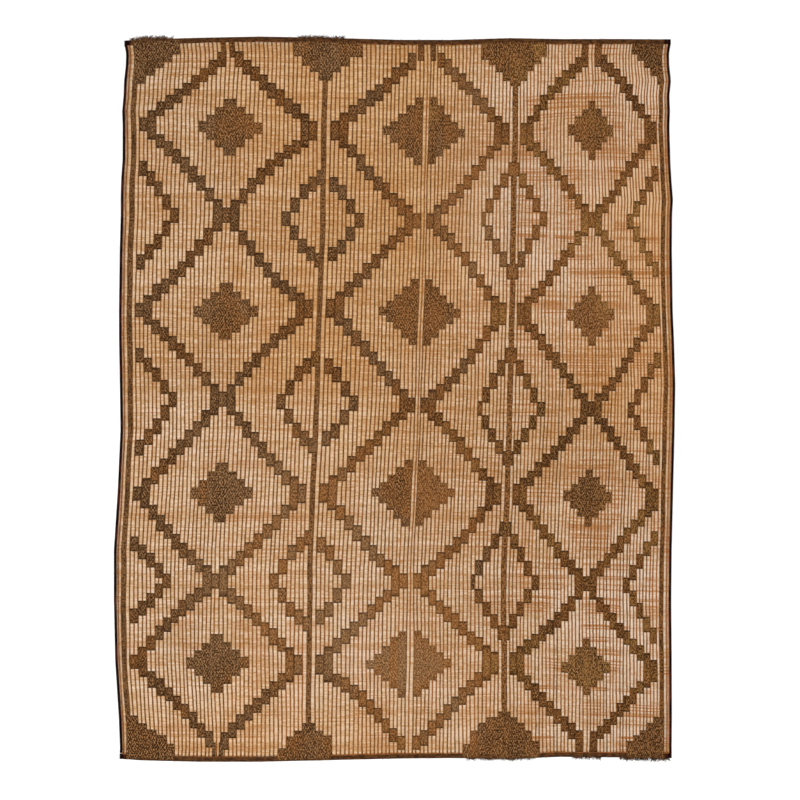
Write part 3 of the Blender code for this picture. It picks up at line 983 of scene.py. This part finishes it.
# The four dark stripes: leather woven along the mat with a fine net of reed in it, one column wide. Two run
# by the long sides and two through the lines of small diamonds.
Stripe = namedtuple("Stripe", "column width tone warmth")
STRIPES = (
    Stripe(LEFT_STRIPE, 0.0160, 0.0, 0.3),
    Stripe(LEFT_LINE, 0.0180, 0.4, 0.64),
    Stripe(RIGHT_LINE, 0.0215, 0.82, 1.0),
    Stripe(RIGHT_STRIPE, 0.0152, 0.12, 1.0),
)
STRIPE_RINGS = 220
STRIPE_HEIGHTS = np.array((0.0034, 0.0043, 0.0046, 0.0047, 0.0046, 0.0043, 0.0034))
STRIPE_SHARES = np.array((0.5, 0.47, 0.3, 0.0, -0.3, -0.47, -0.5))
STRIPE_NET_PITCH = 0.0095
STRIPE_WIDTHS = (0.93, 1.07)  # as shares of a stripe's usual width
STRIPE_OVER = 0.001  # how far a stripe runs in under the band


def stripe_finish():
    finish, start = start_finish("stripe_twill")
    aside, level = read_map(start, "weave")
    tone, warmth = read_value(start, "tone"), read_value(start, "warmth")
    wear = speckle(start, (70.0, 25.0, 1.0), 3.0)
    worn = speckle(start, (20.0, 9.0, 1.0)).between(0.35, 0.65)
    specks = speckle(start, (150.0, 150.0, 1.0)).between(0.41, 0.59)
    along = level * (1 / STRIPE_NET_PITCH) + wear * 1.5
    net = (along + aside * 1.6).wave().larger((along - aside * 1.6).wave())
    leather = blend(warmth, STRIP_GREY, STRIP_RUST)
    leather = blend((wear * 0.6 + worn * 0.4 + tone * 0.4).between(0.1, 0.75), STRIP_DARK, leather)
    leather = blend(specks * 0.85, leather, STRIP_DARK)
    colour = blend(net.between(0.70, 1.0) * (1.0 - specks) * (0.5 + tone * 0.4), leather, LINE_REED)
    colour = blend(aside.size().between(0.36, 0.5) * 0.5, colour, STRIP_DARK)
    close_finish(start, colour, 0.72, 1.0 - net, 0.0006)
    return finish


level = np.linspace(ROW_LEVELS[0] - STRIPE_OVER, ROW_LEVELS[-1] + STRIPE_OVER, STRIPE_RINGS)[None]
column = np.array([stripe.column for stripe in STRIPES])[:, None] + 0 * level
width = np.array([stripe.width for stripe in STRIPES])[:, None] * rng.uniform(*STRIPE_WIDTHS, column.shape)
lines = mat_point(column, level, 0)[..., :2]
section = width[..., None] * STRIPE_SHARES, STRIPE_HEIGHTS
stripes = drawn_piece("dark_stripes", lines, section, stripe_finish(), "pattern_leather")
shape = (*column.shape, len(STRIPE_SHARES))
lay_map(stripes, "weave", shape, STRIPE_SHARES, level[..., None])
for name in ("tone", "warmth"):
    values = np.array([getattr(stripe, name) for stripe in STRIPES])
    lay_value(stripes, name, shape, values[:, None, None])
laid_on_ground.append(stripes)


# The end bands: a plait of dark brown leather along each short end, over a folded strip that grips the
# reeds, with a rust-brown cord along its inner side, thicker at the bottom end.
BAND_RINGS = 150
BAND_SECTION = ((0.5, 0.0), (0.5, 0.0030), (0.44, 0.0040), (-0.44, 0.0040), (-0.5, 0.0030), (-0.5, 0.0))
PLAIT_PITCH = 0.019
PLAIT_REACH = 0.0052  # from the plait's middle line to a strand's at its widest
PLAIT_STRANDS = 3
PLAIT_RINGS = 10  # in each turn
PLAIT_HALF = 0.0034
PLAIT_WIDTHS = (0.9, 1.1)  # as shares of a strand's usual width
PLAIT_MIDDLE = 0.47  # of the band's width, from its outer side
PLAIT_BASE = 0.0036
PLAIT_CREST = 0.0050
PLAIT_RISE = 0.0004  # up and down, as its strands cross
CORD_RINGS = 400
CORD_HALF = {"top": 0.0022, "bottom": 0.0030}
CORD_BASE = 0.0030
CORD_CREST = 0.0050
CORD_OVER = 0.0006  # how far it reaches in past the band
CORD_SWAY = 0.0003
BAND_INSET, PLAIT_INSET, CORD_INSET = 0.001, 0.004, 0.010  # from the long sides
BAND_DARK = (0.040, 0.016, 0.006, 1.0)
BAND_BROWN = (0.110, 0.044, 0.014, 1.0)
BAND_RUST = (0.34, 0.105, 0.028, 1.0)


def band_finish(name, low, high, patches, fade_in=EVERYWHERE):
    """Mottled leather. Its lighter colour shows in full only to the right of where it fades in."""
    finish, start = start_finish(name)
    mottle = speckle(start, (patches, patches * 2, 1.0), 4.0)
    grain = speckle(start, (900.0, 900.0, 1.0), 2.0)
    place = start.make("ShaderNodeTexCoord", output=3)
    across = start.make("ShaderNodeSeparateXYZ", None, {"Vector": place})
    colour = blend(mottle.between(0.38, 0.66) * (0.25 + across.between(*fade_in) * 0.75), low, high)
    close_finish(start, colour, 0.55 + grain * 0.2, grain * 0.3 + mottle, 0.0004)
    return finish


def fixed_section(section, width, rings):
    """The same section for each ring of one length, from shares of its width, and heights."""
    shares, heights = np.array(section).T
    return np.broadcast_to(shares * width, (1, rings, len(shares))), heights


band_paint = band_finish("band_plait", BAND_DARK, BAND_BROWN, 55.0)
cord_paint = {
    "top": band_finish("band_cord_dark", BAND_DARK, BAND_RUST, 80.0),
    "bottom": band_finish("band_cord_rust", BAND_BROWN, BAND_RUST, 80.0, (-0.36, -0.22)),
}
for side in ("top", "bottom"):
    inward = -1 if side == "top" else 1
    outer = SIDES[-1 if side == "top" else 0]
    across = np.linspace(outer.left + BAND_INSET, outer.right - BAND_INSET, BAND_RINGS)[None]
    lines = np.stack([across, end_line(side, across) + inward * BAND_WIDTH / 2], -1)
    section = fixed_section(BAND_SECTION, BAND_WIDTH, BAND_RINGS)
    band = drawn_piece(f"{side}_band", lines, section, band_paint, "band_leather")
    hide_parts(f"band_{side}")

    rings = int((outer.right - outer.left) / PLAIT_PITCH * PLAIT_RINGS)
    strand = np.arange(PLAIT_STRANDS)[:, None]
    across = np.linspace(outer.left + PLAIT_INSET, outer.right - PLAIT_INSET, rings)[None] + 0 * strand
    phase = across / PLAIT_PITCH * 2 * np.pi + strand * 2 * np.pi / PLAIT_STRANDS
    swing = end_line(side, across) + inward * BAND_WIDTH * PLAIT_MIDDLE + PLAIT_REACH * np.sin(phase)
    half = PLAIT_HALF * rng.uniform(*PLAIT_WIDTHS, phase.shape)
    rise = PLAIT_RISE * np.sin(2 * phase)
    section = half, PLAIT_BASE + rise, PLAIT_CREST + rise
    plait = drawn_cane(f"{side}_plait", np.stack([across, swing], -1), *section, band_paint, "band_leather")

    across = np.linspace(outer.left + CORD_INSET, outer.right - CORD_INSET, CORD_RINGS)[None]
    from_end = BAND_WIDTH + CORD_OVER - CORD_HALF[side]
    along = end_line(side, across) + inward * from_end + rng.normal(0, CORD_SWAY, across.shape)
    lines = np.stack([across, along], -1)
    section = CORD_HALF[side] + 0 * across, CORD_BASE, CORD_CREST
    cord = drawn_cane(f"{side}_band_cord", lines, *section, cord_paint[side], "band_leather")
    laid_on_ground += [band, plait, cord]


# The long edges: near-black leather folded round the reed ends, whipped with a fine thong, with a thick
# patch folded over each corner. A lace of faded red leather runs along the fold's inner side.
EDGE_RINGS = 170
EDGE_SECTION = (
    (0.0, 0.0), (0.0, 0.0030), (0.10, 0.0043), (0.32, 0.0050),
    (0.62, 0.0050), (0.88, 0.0044), (1.0, 0.0032), (1.0, 0.0),
)
STITCH_RINGS = 6
WHIP_START, WHIP_STOP = 0.004, 0.008  # from the fold's two ends
WHIP_FROM, WHIP_ACROSS = 0.04, 1.1  # as shares of the edge's width
WHIP_PITCH = 0.011
WHIP_LEAN = 0.005  # how far along the mat a turn goes
WHIP_SPREAD = 0.0005
WHIP_CREST = 0.0053
WHIP_DROP = 0.0016  # to its two ends
WHIP_DEPTH = 0.0012
WHIP_HALF = 0.0011
LACE_START, LACE_STOP = 0.002, 0.012
LACE_PITCH = 0.0075
LACE_LEAN = 0.72  # of its pitch
LACE_SPREAD = 0.0004
LACE_CREST = 0.0046
LACE_DROP = 0.0008
LACE_DEPTH = 0.0014
CORNER_SIDE = 0.026
CORNER_DEPTH = 0.019
CORNER_TOP = 0.0061
CORNER_OVERHANG = 0.0004
FOLD_OUT = 0.0012  # how far the fold swells past the reeds' ends
FOLD_IN = {"left": 0.0020, "right": 0.0010}  # and inwards
LACE_REACH = 0.0062
LACE_HALF = 0.0019
EDGE_BLACK = (0.005, 0.001, 0.001, 1.0)
EDGE_BROWN = (0.060, 0.014, 0.006, 1.0)
Lace = namedtuple("Lace", "dark red faded golden")
LACES = {
    "left": Lace(
        dark=(0.10, 0.024, 0.012, 1.0),
        red=(0.24, 0.055, 0.030, 1.0),
        faded=(0.34, 0.15, 0.080, 1.0),
        golden=(0.52, 0.32, 0.20, 1.0),
    ),
    "right": Lace(
        dark=(0.24, 0.09, 0.018, 1.0),
        red=(0.44, 0.08, 0.022, 1.0),
        faded=(0.34, 0.15, 0.038, 1.0),
        golden=(0.50, 0.29, 0.10, 1.0),
    ),
}


def edge_finish():
    finish, start = start_finish("edge_fold")
    wear = speckle(start, (90.0, 14.0, 1.0), 4.0)
    grain = speckle(start, (800.0, 800.0, 1.0), 2.0)
    colour = blend(wear.between(0.45, 0.75), EDGE_BLACK, EDGE_BROWN)
    close_finish(start, colour, 0.6 + grain * 0.2, grain * 0.5 + wear, 0.0004)
    return finish


def lace_finish(name, lace):
    finish, start = start_finish(name)
    place = speckle(start, (60.0, 8.0, 1.0), 4.0) + read_value(start, "tone") * 0.16 - 0.08
    colour = blend(place.between(0.40, 0.47), lace.dark, lace.red)
    colour = blend(place.between(0.49, 0.54), colour, lace.faded)
    colour = blend(place.between(0.58, 0.64), colour, lace.golden)
    close_finish(start, colour, 0.6, speckle(start, (600.0, 600.0, 1.0)), 0.0003)
    return finish


edge_paint = edge_finish()
lace_paint = {side: lace_finish(f"lace_{side}", lace) for side, lace in LACES.items()}
bottom_line, top_line = SIDES[0].along + BAND_WIDTH, SIDES[-1].along - BAND_WIDTH / 2
for side in ("left", "right"):
    inward = 1 if side == "left" else -1
    along = np.linspace(bottom_line, top_line, EDGE_RINGS)[None]
    lines = np.stack([read_table(SIDES, side, "along", along) - inward * FOLD_OUT, along], -1)
    section = EDGE_SECTION if side == "left" else EDGE_SECTION[::-1]
    section = fixed_section(section, -inward * (FOLD_OUT + EDGE_WIDTH + FOLD_IN[side]), EDGE_RINGS)
    edge = drawn_piece(f"{side}_fold", lines, section, edge_paint, "edge_leather")
    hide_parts(f"edge_{side}")

    starts = np.arange(bottom_line + WHIP_START, top_line - WHIP_STOP, WHIP_PITCH)[:, None]
    share = np.linspace(0, 1, STITCH_RINGS)[None]
    along = starts + WHIP_LEAN * share + rng.normal(0, WHIP_SPREAD, starts.shape)
    reach_in = EDGE_WIDTH * (WHIP_FROM + WHIP_ACROSS * share) - FOLD_OUT
    across = read_table(SIDES, side, "along", along) + inward * reach_in
    arch = WHIP_CREST - WHIP_DROP * (2 * share - 1) ** 4 + 0 * along
    lines = np.stack([across, along], -1)
    section = WHIP_HALF, arch - WHIP_DEPTH, arch
    whip = drawn_cane(f"{side}_whipping", lines, *section, edge_paint, "edge_leather")

    starts = np.arange(bottom_line + LACE_START, top_line - LACE_STOP, LACE_PITCH)[:, None]
    along = starts + LACE_PITCH * LACE_LEAN * share
    reach_in = EDGE_WIDTH + FOLD_IN[side] + LACE_REACH * share + rng.normal(0, LACE_SPREAD, starts.shape)
    across = read_table(SIDES, side, "along", along) + inward * reach_in
    arch = LACE_CREST - LACE_DROP * (2 * share - 1) ** 2 + 0 * along
    lines = np.stack([across, along], -1)
    section = LACE_HALF, arch - LACE_DEPTH, arch
    lace = drawn_cane(f"{side}_lace", lines, *section, lace_paint[side], "edge_leather")
    lay_value(lace, "tone", (*along.shape, 3), rng.random((len(starts), 1, 1)))
    laid_on_ground += [edge, whip, lace]

corner_points = []
for end, outer in (("bottom", SIDES[0]), ("top", SIDES[-1])):
    for low_side, high_side in (
        (outer.left - CORNER_OVERHANG, outer.left + CORNER_SIDE),
        (outer.right - CORNER_SIDE, outer.right + CORNER_OVERHANG),
    ):
        across = low_side + (high_side - low_side) * BLOCK_SHARES[None, :] + 0 * BLOCK_SHARES[:, None]
        outer_line = end_line(end, across)
        low_line = outer_line - (CORNER_DEPTH if end == "top" else CORNER_OVERHANG)
        high_line = outer_line + (CORNER_OVERHANG if end == "top" else CORNER_DEPTH)
        along = low_line + (high_line - low_line) * BLOCK_SHARES[:, None]
        height = CORNER_TOP * np.minimum(BLOCK_PROFILE[:, None], BLOCK_PROFILE[None, :])
        corner_points.append(np.stack([across, along, height], -1))
laid_on_ground.append(pillows("corner_patches", np.array(corner_points), edge_paint))


# The frayed ends: thong ends and hairs of goatskin that stick out past the bands in five tufts, and finer
# wisps along both ends. They are thin, dry and curly, and sink to the floor.
Tuft = namedtuple("Tuft", "node side start stop hairs reach")
TUFTS = (
    Tuft("fringe_top_left", "top", -0.990, -0.838, 150, 0.028),
    Tuft("fringe_top_middle", "top", -0.350, -0.193, 130, 0.023),
    Tuft("fringe_bottom_middle", "bottom", 0.275, 0.530, 170, 0.020),
    Tuft("fringe_bottom_short", "bottom", 0.670, 0.780, 80, 0.021),
    Tuft("fringe_bottom_right", "bottom", 0.850, 1.030, 230, 0.026),
)
HAIR_RINGS = 8
HAIR_HALF = 0.0014
HAIR_WIDTHS = (0.7, 1.3)  # as shares of that
HAIR_LENGTHS = (0.35, 1.0)  # as shares of the tuft's reach
HAIR_LEAN = 0.6
HAIR_CURL = 1.2
HAIR_UNDER = 0.004  # how far a hair starts in under the band
HAIR_INSET = 0.004  # the hairs keep this far inside the corners
HAIR_REST = 0.0002  # the height of its free end over the floor
HAIR_START = 0.0030  # its root lies up to this much higher
HAIR_RISE = 1.4  # its thickness as a share of half its width
WISPS = 70  # on each end
WISP_HALF = 0.0006
WISP_REACH = 0.014
WISP_SPAN = (-0.98, 1.0)
HAIR_DARK = (0.030, 0.014, 0.007, 1.0)
HAIR_BROWN = (0.11, 0.052, 0.024, 1.0)


def hair_finish():
    finish, start = start_finish("frayed_goatskin")
    place = speckle(start, (60.0, 60.0, 1.0), 3.0)
    colour = blend(place.between(0.35, 0.65), HAIR_DARK, HAIR_BROWN)
    close_finish(start, colour, 0.7, place, 0.0003)
    return finish


hair_paint = hair_finish()


def hairs(name, side, roots, reach, half):
    """Curly tapering hairs that start under the band's outer side."""
    outward = 1 if side == "top" else -1
    count = len(roots)
    share = np.linspace(0, 1, HAIR_RINGS)[None]
    lean = rng.normal(0, HAIR_LEAN, (count, 1))
    curl = rng.normal(0, HAIR_CURL, (count, 1))
    length = reach * rng.uniform(*HAIR_LENGTHS, (count, 1))
    aside = length * (lean * share + 0.25 * np.sin(curl * 3 * share))
    out = length * (share - 0.22 * share**2 * np.abs(curl)) - HAIR_UNDER
    across = np.clip(roots[:, None] + aside, SIDES[0].left + HAIR_INSET, SIDES[0].right - HAIR_INSET)
    along = end_line(side, across) + outward * out
    width = half * (1.05 - share) * rng.uniform(*HAIR_WIDTHS, (count, 1))
    rest = HAIR_REST + HAIR_START * (1 - share) ** 2 * rng.uniform(0.3, 1.0, (count, 1))
    lines = np.stack([across, along], -1)
    return drawn_cane(name, lines, width, rest, rest + HAIR_RISE * width, hair_paint, "strand_leather")


for tuft in TUFTS:
    roots = rng.uniform(tuft.start, tuft.stop, tuft.hairs)
    piece = hairs(f"{tuft.node}_hairs", tuft.side, roots, tuft.reach, HAIR_HALF)
    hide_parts(tuft.node)
    laid_on_ground.append(piece)
for side in ("top", "bottom"):
    roots = rng.uniform(*WISP_SPAN, WISPS)
    laid_on_ground.append(hairs(f"{side}_wisps", side, roots, WISP_REACH, WISP_HALF))
